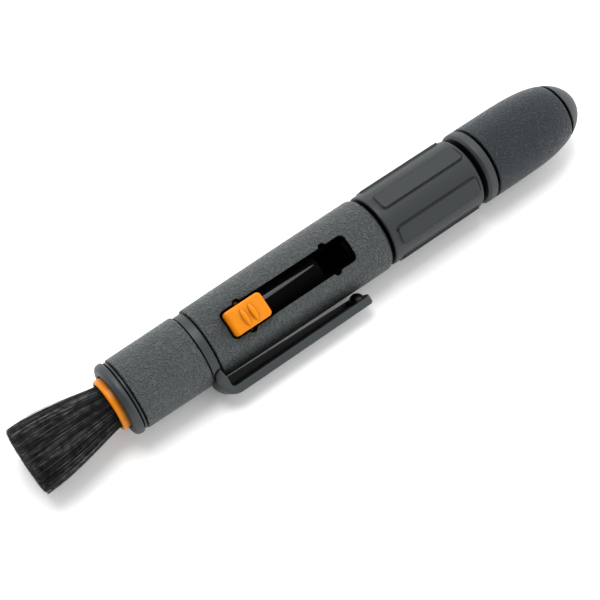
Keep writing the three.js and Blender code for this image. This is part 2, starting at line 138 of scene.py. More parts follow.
def make_piece(name, vertices, faces, body, material, sharp_angle):
    """A finished mesh object from points in pen millimetres, riding on a CAD body."""
    mesh = bpy.data.meshes.new(name)
    mesh.from_pydata([tuple(v) for v in vertices], [], faces)
    bm = bmesh.new()
    bm.from_mesh(mesh)
    bmesh.ops.remove_doubles(bm, verts=bm.verts, dist=WELD_DISTANCE)
    bmesh.ops.dissolve_degenerate(bm, edges=bm.edges, dist=SHORTEST_EDGE)
    bmesh.ops.recalc_face_normals(bm, faces=bm.faces)
    bm.to_mesh(mesh)
    bm.free()
    mesh.transform(PEN_TO_FRAME)
    mesh.shade_smooth()
    mesh.set_sharp_from_angle(angle=math.radians(sharp_angle))
    piece = bpy.data.objects.new(name, mesh)
    bpy.context.scene.collection.objects.link(piece)
    piece.data.materials.append(material)
    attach(piece, body)
    return piece


def skin(vertices, faces, rings, looped=False, capped=True):
    """Adds rings of points with quads between them.

    Looped rings go on from the last to the first. Capped ones get a face over each end."""
    count = len(rings[0])
    starts = [len(vertices) + i * count for i in range(len(rings))]
    for ring in rings:
        vertices.extend(ring)
    for here, there in zip(starts, starts[1:] + starts[:int(looped)]):
        for i in range(count):
            j = (i + 1) % count
            faces.append((here + i, here + j, there + j, there + i))
    if capped:
        faces += [tuple(range(start, start + count)) for start in (starts[0], starts[-1])]


def skinned(name, ring_sets, body, material, sharp_angle=38, looped=False, capped=True):
    """A piece from one or more sets of rings."""
    vertices, faces = [], []
    for rings in ring_sets:
        skin(vertices, faces, rings, looped, capped)
    return make_piece(name, vertices, faces, body, material, sharp_angle)


def lathe_rings(outline, angles):
    """A ring of points round the pen's axis for each [x, r] of the outline."""
    return [[(x, r * math.sin(a), r * math.cos(a)) for a in angles] for x, r in outline]


def turned(name, corners, body, material, closed=True, segments=160):
    """A solid of revolution about the pen's axis."""
    angles = np.arange(segments) * 2 * math.pi / segments
    rings = lathe_rings(soften(corners, closed), angles)
    return skinned(name, [rings], body, material, looped=closed, capped=False)


def stands_for(node):
    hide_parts(node)


# --- Materials --------------------------------------------

class Nodes:
    """Short names for building a material's node tree."""

    def __init__(self, name):
        self.material = bpy.data.materials.new(name)
        self.material.use_nodes = True
        self.tree = self.material.node_tree
        self.shader = self.tree.nodes["Principled BSDF"]
        self.place = self.add("ShaderNodeTexCoord").outputs["Object"]

    def add(self, kind, **settings):
        node = self.tree.nodes.new(kind)
        for key, value in settings.items():
            setattr(node, key, value)
        return node

    def link(self, source, target):
        self.tree.links.new(source, target)

    def put(self, value, socket):
        """Feeds an input socket from an output socket or with a constant."""
        if isinstance(value, bpy.types.NodeSocket):
            self.link(value, socket)
        else:
            socket.default_value = value

    def feed(self, node, **inputs):
        for key, value in inputs.items():
            self.put(value, node.inputs[key.replace("_", " ")])
        return node

    def noise(self, size_mm, detail=3.0, roughness=0.5, place=None):
        node = self.add("ShaderNodeTexNoise")
        self.feed(node, Vector=place or self.place, Scale=1 / (size_mm * MM))
        return self.feed(node, Detail=detail, Roughness=roughness).outputs["Fac"]

    def math(self, operation, a, b=0.0):
        node = self.add("ShaderNodeMath", operation=operation)
        self.put(a, node.inputs[0])
        self.put(b, node.inputs[1])
        return node.outputs[0]

    def vector_math(self, operation, a, b=None):
        node = self.add("ShaderNodeVectorMath", operation=operation)
        self.put(a, node.inputs[0])
        if b is not None:
            self.put(b, node.inputs[1])
        return node

    def remap(self, value, low, high, to_low, to_high):
        node = self.add("ShaderNodeMapRange")
        self.feed(node, Value=value, From_Min=low, From_Max=high, To_Min=to_low, To_Max=to_high)
        return node.outputs["Result"]

    def blend_colour(self, factor, first, second):
        node = self.add("ShaderNodeMix", data_type="RGBA")
        self.link(factor, node.inputs["Factor"])
        for socket, colour in ((node.inputs[6], first), (node.inputs[7], second)):
            self.put((*colour, 1) if isinstance(colour, tuple) else colour, socket)
        return node.outputs[2]

    def bump(self, height, distance_mm):
        node = self.add("ShaderNodeBump")
        return self.feed(node, Height=height, Distance=distance_mm * MM).outputs["Normal"]

    def painted_crevice_shade(self, colour, reach_mm, power, floor):
        """The colour with painted shade: darker in crevices and beside close neighbours."""
        node = self.add("ShaderNodeAmbientOcclusion", samples=8)
        node.inputs["Distance"].default_value = reach_mm * MM
        open_share = self.math("POWER", node.outputs["AO"], power)
        return self.blend_colour(open_share, floor, colour)

    def painted_clip_shadow(self, colour, direction, rear, floor):
        """The colour with a painted shadow: darkened round the pen towards one direction, from the front
        to one place.
        """
        offset = self.vector_math("SUBTRACT", self.place, AXIS_POINT).outputs["Vector"]
        across = self.vector_math("MULTIPLY", offset, (0, 1, 1)).outputs["Vector"]
        outward = self.vector_math("NORMALIZE", across).outputs["Vector"]
        facing = self.vector_math("DOT_PRODUCT", outward, direction).outputs["Value"]
        ends = [math.cos(math.radians(angle)) for angle in CLIP_SHADOW_ANGLES]
        share = self.remap(facing, *ends, 0.0, CLIP_SHADOW_SHARE)
        along = self.add("ShaderNodeSeparateXYZ")
        self.link(self.place, along.inputs[0])
        fade_start, fade_end = (rear + offset_mm * MM for offset_mm in CLIP_SHADOW_FADE)
        covered = self.remap(along.outputs["X"], fade_start, fade_end, 1.0, 0.0)
        return self.blend_colour(self.math("MULTIPLY", share, covered), colour, floor)

    def finish(self, colour, roughness, normal=None, specular=0.5):
        self.shader.inputs["Specular IOR Level"].default_value = specular
        self.link(colour, self.shader.inputs["Base Color"])
        self.link(roughness, self.shader.inputs["Roughness"])
        if normal:
            self.link(normal, self.shader.inputs["Normal"])
        return self.material


def from_srgb(red, green, blue):
    """Linear colour from 8-bit screen values."""
    return tuple(((c / 255 + 0.055) / 1.055) ** 2.4 if c > 10 else c / 255 / 12.92
                 for c in (red, green, blue))


SLEEVE_SLATE = from_srgb(99, 105, 106)
BARREL_SLATE = from_srgb(97, 103, 104)
SLATE_DARK = from_srgb(55, 61, 63)
SLATE_BLUE = from_srgb(50, 58, 64)
BLACK = from_srgb(11, 11, 12)
ORANGE = from_srgb(224, 137, 6)

# Ridges that the leather grain's noise is folded into.
RIDGE_TURNS = 3.2

# The painted shadow of the clip on the barrel: degrees to each side of the clip where it starts and where
# it is full, how dark it gets, and millimetres from the clip's free end where it starts and ends fading.
CLIP_SHADOW_ANGLES = (54, 24)
CLIP_SHADOW_SHARE = 0.92
CLIP_SHADOW_FADE = (-5.0, 1.5)


def shade(colour, factor):
    return tuple(c * factor for c in colour)


def grained_plastic(name, colour, wrinkle_mm, depth_mm, ridge_tone_and_shade, shadow_under_clip=False):
    """Moulded leather grain: crooked ridges that wander over the surface, with fine pores between.

    Under the clip it is painted dark: a painted shadow of the clip on the barrel."""
    n = Nodes(name)
    field = n.noise(wrinkle_mm * 2.5, 2.0, 0.4)
    ridges = n.math("SINE", n.math("MULTIPLY", field, RIDGE_TURNS * 2 * math.pi))
    fine = n.noise(wrinkle_mm * 0.4, 3.0, 0.6)
    patches = n.noise(wrinkle_mm * 9, 2.0)
    height = n.math("ADD", n.math("MULTIPLY", ridges, 0.35), n.math("MULTIPLY", fine, 0.7))
    # Lighter on the grain's ridges and darker in its hollows: partly the grain's own tone, partly painted
    # highlight and shade.
    tone = n.remap(height, 0.1, 0.9, 0.0, 1.0)
    base = n.blend_colour(tone, shade(colour, 1 - ridge_tone_and_shade), shade(colour, 1 + ridge_tone_and_shade))
    base = n.blend_colour(n.remap(patches, 0.3, 0.7, 0.0, 0.2), base, shade(colour, 0.85))
    roughness = n.remap(height, 0.0, 0.8, 0.42, 0.24)
    if shadow_under_clip:
        # Painted shadow of the clip, darkening the barrel's colour beneath it.
        direction = PEN_TO_FRAME.to_3x3() @ CLIP_TO_PEN @ Vector((0, 0, 1))
        free_end = max(vertex.co.x for vertex in frame["nodes"]["clip_arm"].data.vertices)
        base = n.painted_clip_shadow(base, direction.normalized(), free_end, shade(BLACK, 0.6))
    # Painted shade in crevices and beside close neighbours, such as the clip and the floor.
    base = n.painted_crevice_shade(base, 4.0, 4.0, shade(BLACK, 0.4))
    return n.finish(base, roughness, n.bump(height, depth_mm), specular=0.42)


def smooth_plastic(name, colour, rough, mottle, specular=0.5, crevice_mm=0.0):
    """Smooth moulded plastic with a faint orange-peel and hairline scuffs."""
    n = Nodes(name)
    peel = n.noise(0.55, 2.0)
    stretch = n.add("ShaderNodeMapping")
    stretch.inputs["Scale"].default_value = (0.12, 1.0, 1.0)
    n.link(n.place, stretch.inputs["Vector"])
    scuffs = n.noise(0.16, 5.0, 0.7, stretch.outputs["Vector"])
    cloud = n.noise(5.0, 3.0)
    tone = n.math("ADD", n.math("MULTIPLY", cloud, 0.7), n.math("MULTIPLY", scuffs, 0.3))
    base = n.blend_colour(n.remap(tone, 0.3, 0.7, 0.0, 1.0), shade(colour, 1 - mottle),
                          shade(colour, 1 + mottle))
    roughness = n.remap(scuffs, 0.35, 0.75, rough - 0.05, rough + 0.08)
    height = n.math("ADD", n.math("MULTIPLY", peel, 0.7), n.math("MULTIPLY", scuffs, 0.3))
    # Painted shade in crevices and beside close neighbours, reaching crevice_mm.
    if crevice_mm:
        base = n.painted_crevice_shade(base, crevice_mm, 2.0, shade(colour, 0.15))
    return n.finish(base, roughness, n.bump(height, 0.012), specular)


def orange_plastic():
    """Bright tinted plastic that lets a little light in."""
    material = smooth_plastic("orange_plastic", ORANGE, 0.42, 0.07, specular=0.3, crevice_mm=0.9)
    shader = material.node_tree.nodes["Principled BSDF"]
    shader.inputs["Coat Weight"].default_value = 0.06
    shader.inputs["Coat Roughness"].default_value = 0.35
    shader.inputs["Subsurface Weight"].default_value = 0.1
    shader.inputs["Subsurface Radius"].default_value = (0.9, 0.4, 0.12)
    shader.inputs["Subsurface Scale"].default_value = 0.6 * MM
    return material


def bristle_fibre():
    """Black goat hair, some strands lighter than others, with painted glints along them."""
    n = Nodes("bristle_fibre")
    strand = n.add("ShaderNodeAttribute", attribute_name="strand_tone").outputs["Fac"]
    # Painted glints: brighter stretches along the strands.
    glints = n.remap(n.noise(1.1, 3.0), 0.36, 0.66, 0.3, 1.3)
    tone = n.math("MULTIPLY", strand, glints)
    base = n.blend_colour(tone, from_srgb(5, 5, 6), from_srgb(225, 225, 228))
    roughness = n.remap(strand, 0.0, 1.0, 0.6, 0.4)
    return n.finish(base, roughness, specular=0.4)


def black_rubber():
    n = Nodes("black_rubber")
    speck = n.noise(0.12)
    base = n.blend_colour(n.noise(1.5), shade(BLACK, 0.7), shade(BLACK, 1.2))
    return n.finish(base, n.remap(speck, 0.3, 0.7, 0.65, 0.85), n.bump(speck, 0.01), 0.15)


def napped(name, colour, grain_mm, depth_mm):
    """Suede or open foam: a soft uneven pile."""
    n = Nodes(name)
    pile = n.noise(grain_mm, 5.0, 0.75)
    base = n.blend_colour(n.remap(pile, 0.3, 0.7, 0.0, 1.0), shade(colour, 0.5), shade(colour, 1.5))
    n.shader.inputs["Sheen Weight"].default_value = 0.3
    return n.finish(base, n.remap(pile, 0.3, 0.7, 0.85, 1.0), n.bump(pile, depth_mm))


LEATHER = grained_plastic("slate_leather_grain", SLEEVE_SLATE, 0.34, 0.6, 0.12)
BARREL_LEATHER = grained_plastic("slate_barrel_grain", BARREL_SLATE, 0.34, 0.6, 0.12, shadow_under_clip=True)
CAP_GRAIN = grained_plastic("slate_fine_grain", SLATE_BLUE, 0.22, 0.2, 0.32)
SATIN = smooth_plastic("slate_satin", shade(SLATE_DARK, 0.7), 0.44, 0.06, 0.5, crevice_mm=2.5)
SMOOTH = smooth_plastic("slate_smooth", SLATE_DARK, 0.48, 0.07, 0.55, crevice_mm=2.5)
BLACK_PLASTIC = smooth_plastic("black_plastic", BLACK, 0.42, 0.1, specular=0.3)
BLACK_MATTE = smooth_plastic("black_matte", shade(BLACK, 0.6), 0.7, 0.15, specular=0.08)
# The orange plastic made very dark: painted shade on the detent strip inside the notches.
ORANGE_IN_SHADE = smooth_plastic("orange_plastic_painted_shade", shade(ORANGE, 0.14), 0.5, 0.1)
# Grey gloss for the carrier's bead, lighter than black: partly a painted highlight line.
BEAD_GLOSS = smooth_plastic("black_gloss", from_srgb(78, 79, 82), 0.3, 0.1)
ORANGE_PLASTIC = orange_plastic()
FIBRE = bristle_fibre()
BLACK_RUBBER = black_rubber()
SUEDE = napped("black_suede", from_srgb(48, 48, 50), 0.09, 0.03)
FOAM = napped("carbon_foam", from_srgb(30, 30, 32), 0.2, 0.06)


# --- Front of the barrel ----------------------------------

def nose_bushing():
    mouth, spigot_end = span("nose_bushing")
    bore, radius = radii("nose_bushing")
    flange_rear = span("spacer_ring")[0] - 0.2
    spigot = radii("core_tube")[1]
    piece = turned("nose_bushing_smooth", [
        [mouth, bore, 0.35],
        [mouth, radius, 1.2],
        [flange_rear, radius, 0.45],
        [flange_rear, spigot],
        [spigot_end, spigot, 0.15],
        [spigot_end, bore, 0.15],
    ], "barrel", SMOOTH)
    stands_for("nose_bushing")


def plain_ring(node, body, material, edge):
    """A band with softened outer edges."""
    front, rear = span(node)
    bore, radius = radii(node)
    piece = turned(node + "_band", [
        [front, bore],
        [front, radius, edge],
        [rear, radius, edge],
        [rear, bore],
    ], body, material)
    stands_for(node)


def o_ring(node, body):
    """A rubber ring with a rounded outside, sunk between its neighbours."""
    front, rear = span(node)
    bore, radius = radii(node)
    half = (rear - front) / 2
    crest = bore + (radius - bore) * 0.3
    crown = [[(front + rear) / 2 - half * math.cos(a), crest - half + half * math.sin(a)]
             for a in np.linspace(0, math.pi, 13)]
    piece = turned(node + "_round", [[front, bore], *crown, [rear, bore]], body, BLACK_RUBBER)
    stands_for(node)


def front_sleeve():
    front, rear = span("front_sleeve")
    bore, radius = radii("front_sleeve")
    piece = turned("front_sleeve_grained", [
        [front, bore, 0.1],
        [front, radius - 0.13, 0.3],
        [rear, radius, 0.4],
        [rear, bore, 0.1],
    ], "barrel", LEATHER)
    stands_for("front_sleeve")


def core_tube():
    """The tube inside keeps its plain CAD shape and gets the black plastic."""
    mesh = frame["nodes"]["core_tube"].data
    mesh.materials.clear()
    mesh.materials.append(BLACK_MATTE)


# --- Main barrel with its thumb slot ----------------------

SLOT_HALF = 2.62
SLOT_CORNER = 0.95
SLOT_FRONT = span("thumb_slider")[0] - 0.28
SLOT_REAR = span("thumb_slider")[1] + TRAVEL + 0.24
DETENT_X = sum(span("detent_spring")) / 2
NOTCH_HALF = 0.85
NOTCH_SHOULDER = 0.55
NOTCH_DEPTH = 0.55
SLOT_EDGE = 0.16
CORNER_STEPS = 7


def slot_side(start, end, count, outward):
    """One side of the slot from corner middle to corner middle, without its last point."""
    start, end = np.array(start, float), np.array(end, float)
    along = (end - start) / np.linalg.norm(end - start)
    outward = np.array(outward, float)
    points = []
    for a in np.linspace(math.pi / 4, 0, CORNER_STEPS)[:-1]:
        centre = start + along * SLOT_CORNER - outward * SLOT_CORNER
        points.append(centre + SLOT_CORNER * (outward * math.cos(a) - along * math.sin(a)))
    for t in np.linspace(0, 1, count):
        point = start + along * SLOT_CORNER + (end - start - 2 * along * SLOT_CORNER) * t
        reach = 0.0
        if outward[1]:
            for x in (DETENT_X, DETENT_X + TRAVEL):
                reach += NOTCH_DEPTH * smooth_step((NOTCH_HALF - abs(point[0] - x)) / NOTCH_SHOULDER)
        points.append(point + outward * reach)
    for a in np.linspace(0, math.pi / 4, CORNER_STEPS)[1:-1]:
        centre = end - along * SLOT_CORNER - outward * SLOT_CORNER
        points.append(centre + SLOT_CORNER * (outward * math.cos(a) + along * math.sin(a)))
    return points


def offset_loop(loop, distance):
    """The loop moved outwards by a distance."""
    tangent = sum(np.roll(loop, -k, axis=0) - np.roll(loop, k, axis=0) for k in range(1, 4))
    tangent /= np.linalg.norm(tangent, axis=1, keepdims=True)
    return loop + distance * np.column_stack([tangent[:, 1], -tangent[:, 0]])


def slot_and_border(first, last):
    """The slot's edge, a border round the unrolled barrel, and how many points each side has.

    The border has a point [x, angle] for each of the slot's, corner for corner."""
    counts = (240, 100) * 2
    slot_corners = [(SLOT_FRONT, -SLOT_HALF), (SLOT_REAR, -SLOT_HALF),
                    (SLOT_REAR, SLOT_HALF), (SLOT_FRONT, SLOT_HALF)]
    border_corners = np.array([(first, -math.pi), (last, -math.pi), (last, math.pi), (first, math.pi)])
    outwards = [(0, -1), (1, 0), (0, 1), (-1, 0)]
    slot, border, sides = [], [], []
    for i in range(4):
        j = (i + 1) % 4
        side = slot_side(slot_corners[i], slot_corners[j], counts[i], outwards[i])
        slot += side
        sides.append(len(side))
        for t in np.arange(len(side)) / len(side):
            border.append(border_corners[i] * (1 - t) + border_corners[j] * t)
    return np.array(slot), np.array(border), sides


def above(loop, r):
    """Slot points straight above their place in the slot's plane, at a distance from the axis."""
    return np.column_stack([loop[:, 0], loop[:, 1], np.sqrt(r ** 2 - loop[:, 1] ** 2)])


def rolled(loop, r):
    """Points [x, angle] of the unrolled barrel, at a distance from the axis."""
    return np.column_stack([loop[:, 0], r * np.sin(loop[:, 1]), r * np.cos(loop[:, 1])])


def unrolled(loop, r):
    """The [x, angle] of slot points that lie at a distance from the axis."""
    return np.column_stack([loop[:, 0], np.arcsin(loop[:, 1] / r)])


def main_barrel():
    """A skin from the border over the outside, through the slot and back along the bore."""
    front, rear = span("main_barrel")
    bore, radius = radii("main_barrel")
    front_radius = radii("front_sleeve")[1]
    front_edge, rear_edge, bore_edge = 0.33, 1.5, 0.1
    first, last = front + 0.35, rear - 1.55
    slot, border, sides = slot_and_border(first, last)

    def outer(x):
        along = np.clip((x - front) / (rear - front), 0, 1)
        return radius - (radius - front_radius) * (1 - along) ** 2

    lip = offset_loop(slot, SLOT_EDGE)
    lip = unrolled(lip, outer(lip[:, 0]))
    rings = []
    for w in np.linspace(0, 1, 40):
        mixed = border * (1 - w) ** 1.5 + lip * (1 - (1 - w) ** 1.5)
        rings.append(rolled(mixed, outer(mixed[:, 0])))
    for a in np.linspace(0, math.pi / 2, 6)[1:]:
        ring = offset_loop(slot, SLOT_EDGE * (1 - math.sin(a)))
        rings.append(above(ring, outer(ring[:, 0])) - [0, 0, SLOT_EDGE * (1 - math.cos(a))])
    rings.append(above(slot, bore))
    inner_lip = unrolled(slot, bore)
    for w in np.linspace(0, 1, 8)[1:]:
        rings.append(rolled(inner_lip * (1 - w) + border * w, bore))
    ring_sets = [rings]

    # The two ends, each between the outer border and the inner one.
    rear_corners = [[last, outer(last)], [rear, outer(last), rear_edge], [rear, bore, bore_edge],
                    [last, bore]]
    front_corners = [[first, outer(first)], [front, outer(first), front_edge],
                     [front, bore, bore_edge], [first, bore]]
    for side, corners in ((1, rear_corners), (3, front_corners)):
        start = sum(sides[:side])
        angles = [a for _, a in border[start:start + sides[side]]]
        ring_sets.append(lathe_rings(soften(corners, False, 10), angles))
    piece = skinned("main_barrel_grained", ring_sets, "barrel", BARREL_LEATHER, capped=False)
    # The bore and the slot's walls get the black matte plastic: painted shade, as the barrel is one slate
    # moulding.
    piece.data.materials.append(BLACK_MATTE)
    for polygon in piece.data.polygons:
        centre = FRAME_TO_PEN @ polygon.center
        inside = math.hypot(centre.y, centre.z) < outer(centre.x) - 2 * SLOT_EDGE
        polygon.material_index = int(inside and first < centre.x < last)
    stands_for("main_barrel")


# --- Grip -------------------------------------------------

GRIP_BASE = 7.0
GRIP_FLAT = 7.22
PAD_COUNT = 6
PAD_HALF = 1.66
PAD_ROUND = 0.55
PAD_RAMP = 0.2
PAD_SECTOR = 2 * math.pi / PAD_COUNT
GROOVE_DEPTH, GROOVE_AT, GROOVE_WIDTH = 0.1, 0.17, 0.1


def pad_height(x, a, pad_front, pad_rear):
    """The grip's radius at a place: flat pads with a groove round each, on a round base."""
    local = a - (math.floor(a / PAD_SECTOR) + 0.5) * PAD_SECTOR
    over_x = max(pad_front - x, x - pad_rear) + PAD_ROUND
    over_y = abs(GRIP_FLAT * math.tan(local)) - PAD_HALF + PAD_ROUND
    outside = math.hypot(max(over_x, 0), max(over_y, 0)) + min(max(over_x, over_y), 0) - PAD_ROUND
    rise = max(0.0, GRIP_FLAT / math.cos(local) - GRIP_BASE)
    groove = GROOVE_DEPTH * math.exp(-((outside - GROOVE_AT) / GROOVE_WIDTH) ** 2)
    return GRIP_BASE + rise * smooth_step(0.5 - outside / PAD_RAMP) - groove


def grip_collar():
    front, rear = span("grip_collar")
    bore, _ = radii("grip_collar")
    pad_front, pad_rear = front + 1.8, rear - 1.1
    first, last = front + 0.45, rear - 0.85
    edge_angle = PAD_HALF / GRIP_FLAT

    # Close steps across the pads' edges, round the grip and along it.
    before, after = edge_angle - 0.1, edge_angle + 0.04
    half_sector = np.concatenate([
        np.linspace(0, before, 8)[:-1],
        np.linspace(before, after, 16)[:-1],
        np.linspace(after, PAD_SECTOR / 2, 8),
    ])
    one_sector = np.concatenate([-half_sector[:0:-1], half_sector[:-1]])
    angles = np.concatenate([one_sector + PAD_SECTOR * (k + 0.5) for k in range(PAD_COUNT)])
    outside, inside = 0.2, 0.9
    stations = np.concatenate([
        np.linspace(first, pad_front - outside, 5)[1:-1],
        np.linspace(pad_front - outside, pad_front + inside, 18)[:-1],
        np.linspace(pad_front + inside, pad_rear - inside, 14)[:-1],
        np.linspace(pad_rear - inside, pad_rear + outside, 18)[:-1],
        np.linspace(pad_rear + outside, last, 4)[:-1],
    ])
    head = soften([[first, bore], [front, bore, 0.1], [front, GRIP_BASE, 0.42], [first, GRIP_BASE]],
                  False, 8)
    tail = soften([[last, GRIP_BASE], [rear, GRIP_BASE, 0.8], [rear, bore, 0.1], [last, bore]],
                  False, 8)
    rings = lathe_rings(head, angles)
    for x in stations:
        heights = [pad_height(x, a, pad_front, pad_rear) for a in angles]
        rings.append([(x, r * math.sin(a), r * math.cos(a)) for r, a in zip(heights, angles)])
    rings += lathe_rings(tail, angles)
    piece = skinned("grip_collar_padded", [rings], "barrel", SATIN, 60, looped=True, capped=False)
    stands_for("grip_collar")


# --- Clip -------------------------------------------------

CLIP_THICKNESS = 1.57
CLIP_CORNER = 0.3
CLIP_INNER_CORNER = 0.25
LIP_WIDTH = 0.8
LIP_HEIGHT = 1.5
KNUCKLE_RADIUS = radii("clip_ring")[1] + 0.2
NUB_X = span("clip_arm")[1] - 2.0


class Section(NamedTuple):
    """A cut across the clip: points [x, height] on its two faces, and the shape between them."""

    outer: tuple
    inner: tuple
    half_width: float
    wrap: float = 0.0
    bevel: float = CLIP_CORNER
    lip: float = 0.0


def arm_sections(outer_height, inner_height):
    """The strip from its free end, round the bend, to the knuckle that straddles the clip ring."""
    front, end = span("clip_arm")
    front += 0.3
    wall = front + 1.95
    ring_front, ring_rear = span("clip_ring")
    end_half, arm_half, knuckle_half, flare = 2.2, 2.55, 4.6, 1.1
    bend_half = knuckle_half - flare
    outer_bend, inner_bend = 3.2, 0.9
    bend_x = front + outer_bend
    bend_height, wall_height = outer_height - outer_bend, inner_height - inner_bend
    sections = []

    # The arm, a little thicker at its rounded end. Its lip is higher towards the bend.
    end_zone = 3.9
    fine, coarse = np.linspace(end, end - end_zone, 50), np.linspace(end - end_zone, bend_x, 30)
    for x in (*fine, *coarse[1:]):
        t = (end - x) / (end - bend_x)
        thicker = 0.25 * np.clip((x - end + 0.75) / 0.5, 0, 1)
        tip = max(0.0, 1 - (end - x) / 0.7)
        rounding = 1 - math.sqrt(max(0.0, 1 - tip * tip))
        half_width = end_half + (arm_half - end_half) * t - 0.7 * rounding
        lift = 0.35 * rounding
        lip = LIP_HEIGHT * (0.45 + 0.55 * t) * np.clip((NUB_X - x) / 0.5, 0, 1)
        sections.append(Section((x, outer_height - lift), (x, inner_height - thicker + lift / 2),
                                half_width, lip=lip))
    for a in np.linspace(0, math.pi / 2, 20)[1:]:
        t = a / (math.pi / 2)
        sections.append(Section(
            (bend_x - outer_bend * math.sin(a), bend_height + outer_bend * math.cos(a)),
            (wall + inner_bend - inner_bend * math.sin(a), wall_height + inner_bend * math.cos(a)),
            arm_half + (bend_half - arm_half) * t ** 2.2,
            wrap=0.35 * t ** 2,
            bevel=CLIP_CORNER + 0.7 * math.sin(a),
            lip=LIP_HEIGHT * max(0.0, 1 - a / 0.9)))
    for t in np.linspace(0, 1, 12)[1:]:
        narrow = smooth_step(t)
        sections.append(Section(
            (front + (ring_front + 0.05 - front) * narrow,
             bend_height + (KNUCKLE_RADIUS - bend_height) * t),
            (wall + (ring_rear - 0.05 - wall) * narrow,
             wall_height + (KNUCKLE_RADIUS - wall_height) * t),
            bend_half + flare * math.sin(t * math.pi / 2),
            wrap=0.35 + 0.65 * t,
            bevel=1.0 + 0.5 * t))
    return sections


def section_ring(section):
    """Points round a section: four rounded corners, and the lip's foot and edge between two."""
    outer, inner = np.array(section.outer), np.array(section.inner)
    middle = (outer + inner) / 2
    reach = np.linalg.norm(outer - inner) / 2
    outward = (outer - inner) / (2 * reach)
    outline = []
    for quadrant in range(4):
        face = 1 if quadrant in (0, 3) else -1
        edge = 1 if quadrant in (0, 1) else -1
        round_across = section.bevel if face > 0 else CLIP_INNER_CORNER
        round_through = min(round_across, 2 * reach - 1.2 * CLIP_INNER_CORNER)
        for a in np.linspace(0, math.pi / 2, 8):
            turn = a + quadrant * math.pi / 2
            through = (reach - round_through) * face + round_through * math.cos(turn)
            through -= section.lip if quadrant == 2 else 0.0
            across = (section.half_width - round_across) * edge + round_across * math.sin(turn)
            outline.append((through, across))
        if quadrant == 1:
            across = LIP_WIDTH - section.half_width
            outline += [(-reach, across), (-reach - section.lip, across)]
    ring = []
    for through, across in outline:
        x, height = middle + outward * through
        ring_share = min(abs(across), KNUCKLE_RADIUS)
        sag = KNUCKLE_RADIUS - math.sqrt(KNUCKLE_RADIUS ** 2 - ring_share ** 2)
        ring.append((x, across, height - section.wrap * sag))
    return ring


def nub_rings(inner_height):
    """The round bump on the inside of the arm near its end."""
    half_x, half_across, across, top, end_angle = 1.4, 1.55, 0.2, 7.4, 0.06
    rings = []
    for a in np.linspace(end_angle, math.pi - end_angle, 17):
        swell = math.sin(a) ** 0.7
        rings.append([(NUB_X + half_x * swell * math.cos(b), across + half_across * math.cos(a),
                       inner_height + (inner_height - top) * swell * math.sin(b))
                      for b in np.linspace(0, 2 * math.pi, 32, endpoint=False)])
    return rings


def clip_arm():
    to_clip = CLIP_TO_PEN.inverted()
    corners = frame["nodes"]["clip_arm"].data.vertices
    outer_height = max((to_clip @ (FRAME_TO_PEN @ corner.co)).z for corner in corners)
    inner_height = outer_height - CLIP_THICKNESS
    vertices, faces = [], []
    skin(vertices, faces, [section_ring(cut) for cut in arm_sections(outer_height, inner_height)])
    arm_faces = len(faces)
    skin(vertices, faces, nub_rings(inner_height))
    vertices = [CLIP_TO_PEN @ Vector(vertex) for vertex in vertices]
    piece = make_piece("clip_arm_bent", vertices, faces, "clip", SMOOTH, 50)
    # The nub gets the black plastic: painted shade, as it is moulded with the slate arm.
    piece.data.materials.append(BLACK_PLASTIC)
    for polygon in piece.data.polygons[arm_faces:]:
        polygon.material_index = 1
    stands_for("clip_arm")


# --- Ring, cap and end plug -------------------------------

def twist_ring():
    front, spigot_end = span("twist_ring")
    bore, radius = radii("twist_ring")
    rear = span("cap_seal")[0] - 0.12
    spigot = radii("cap_seal")[0] - 0.2
    piece = turned("twist_ring_smooth", [
        [front, bore],
        [front, radius - 0.5, 0.12],
        [front + 0.5, radius, 0.22],
        [rear, radius, 0.16],
        [rear, spigot],
        [spigot_end, spigot, 0.25],
        [spigot_end, bore, 0.1],
    ], "ring", SMOOTH)
    stands_for("twist_ring")


CAP_RADIUS = radii("cap_shell")[1]
END_TIP = span("end_plug")[1]
CURVE_START = END_TIP - 19.45
CURVE_POWER = 3.6
PLUG_SPIGOT = 4.6


def bullet(x):
    """The radius of the cap and the end plug at a place along the pen."""
    along = min(1.0, max(0.0, (x - CURVE_START) / (END_TIP - CURVE_START)))
    return CAP_RADIUS * math.sqrt(1 - along ** CURVE_POWER)


def cap_shell():
    front, rear = span("cap_shell")
    bore = radii("cap_liner")[1] + TOUCH
    plug_hole = PLUG_SPIGOT + TOUCH
    ledge = span("cap_liner")[1] + 0.4
    rear -= 0.06
    chamfer = 0.12
    outer = [[x, bullet(x)] for x in np.linspace(CURVE_START, rear - chamfer, 40)]
    piece = turned("cap_shell_grained", [
        [front, bore, 0.15],
        [front, CAP_RADIUS, 0.25],
        *outer,
        [rear, bullet(rear) - chamfer],
        [rear, plug_hole],
        [ledge, plug_hole],
        [ledge, bore],
    ], "cap", CAP_GRAIN)
    stands_for("cap_shell")


def end_plug():
    start, tip = span("end_plug")
    base = span("plug_gasket")[1] + 0.18
    chamfer = 0.14
    steps = base + (tip - base) * np.sin(np.linspace(0.06, math.pi / 2, 36))
    dome = [[x, bullet(x)] for x in steps[:-1] if x > base + 0.2]
    piece = turned("end_plug_domed", [
        [start, 0],
        [start, PLUG_SPIGOT, 0.2],
        [base, PLUG_SPIGOT],
        [base, bullet(base) - chamfer],
        [base + chamfer, bullet(base + chamfer)],
        *dome,
        [tip, 0],
    ], "cap", SMOOTH, closed=False)
    stands_for("end_plug")


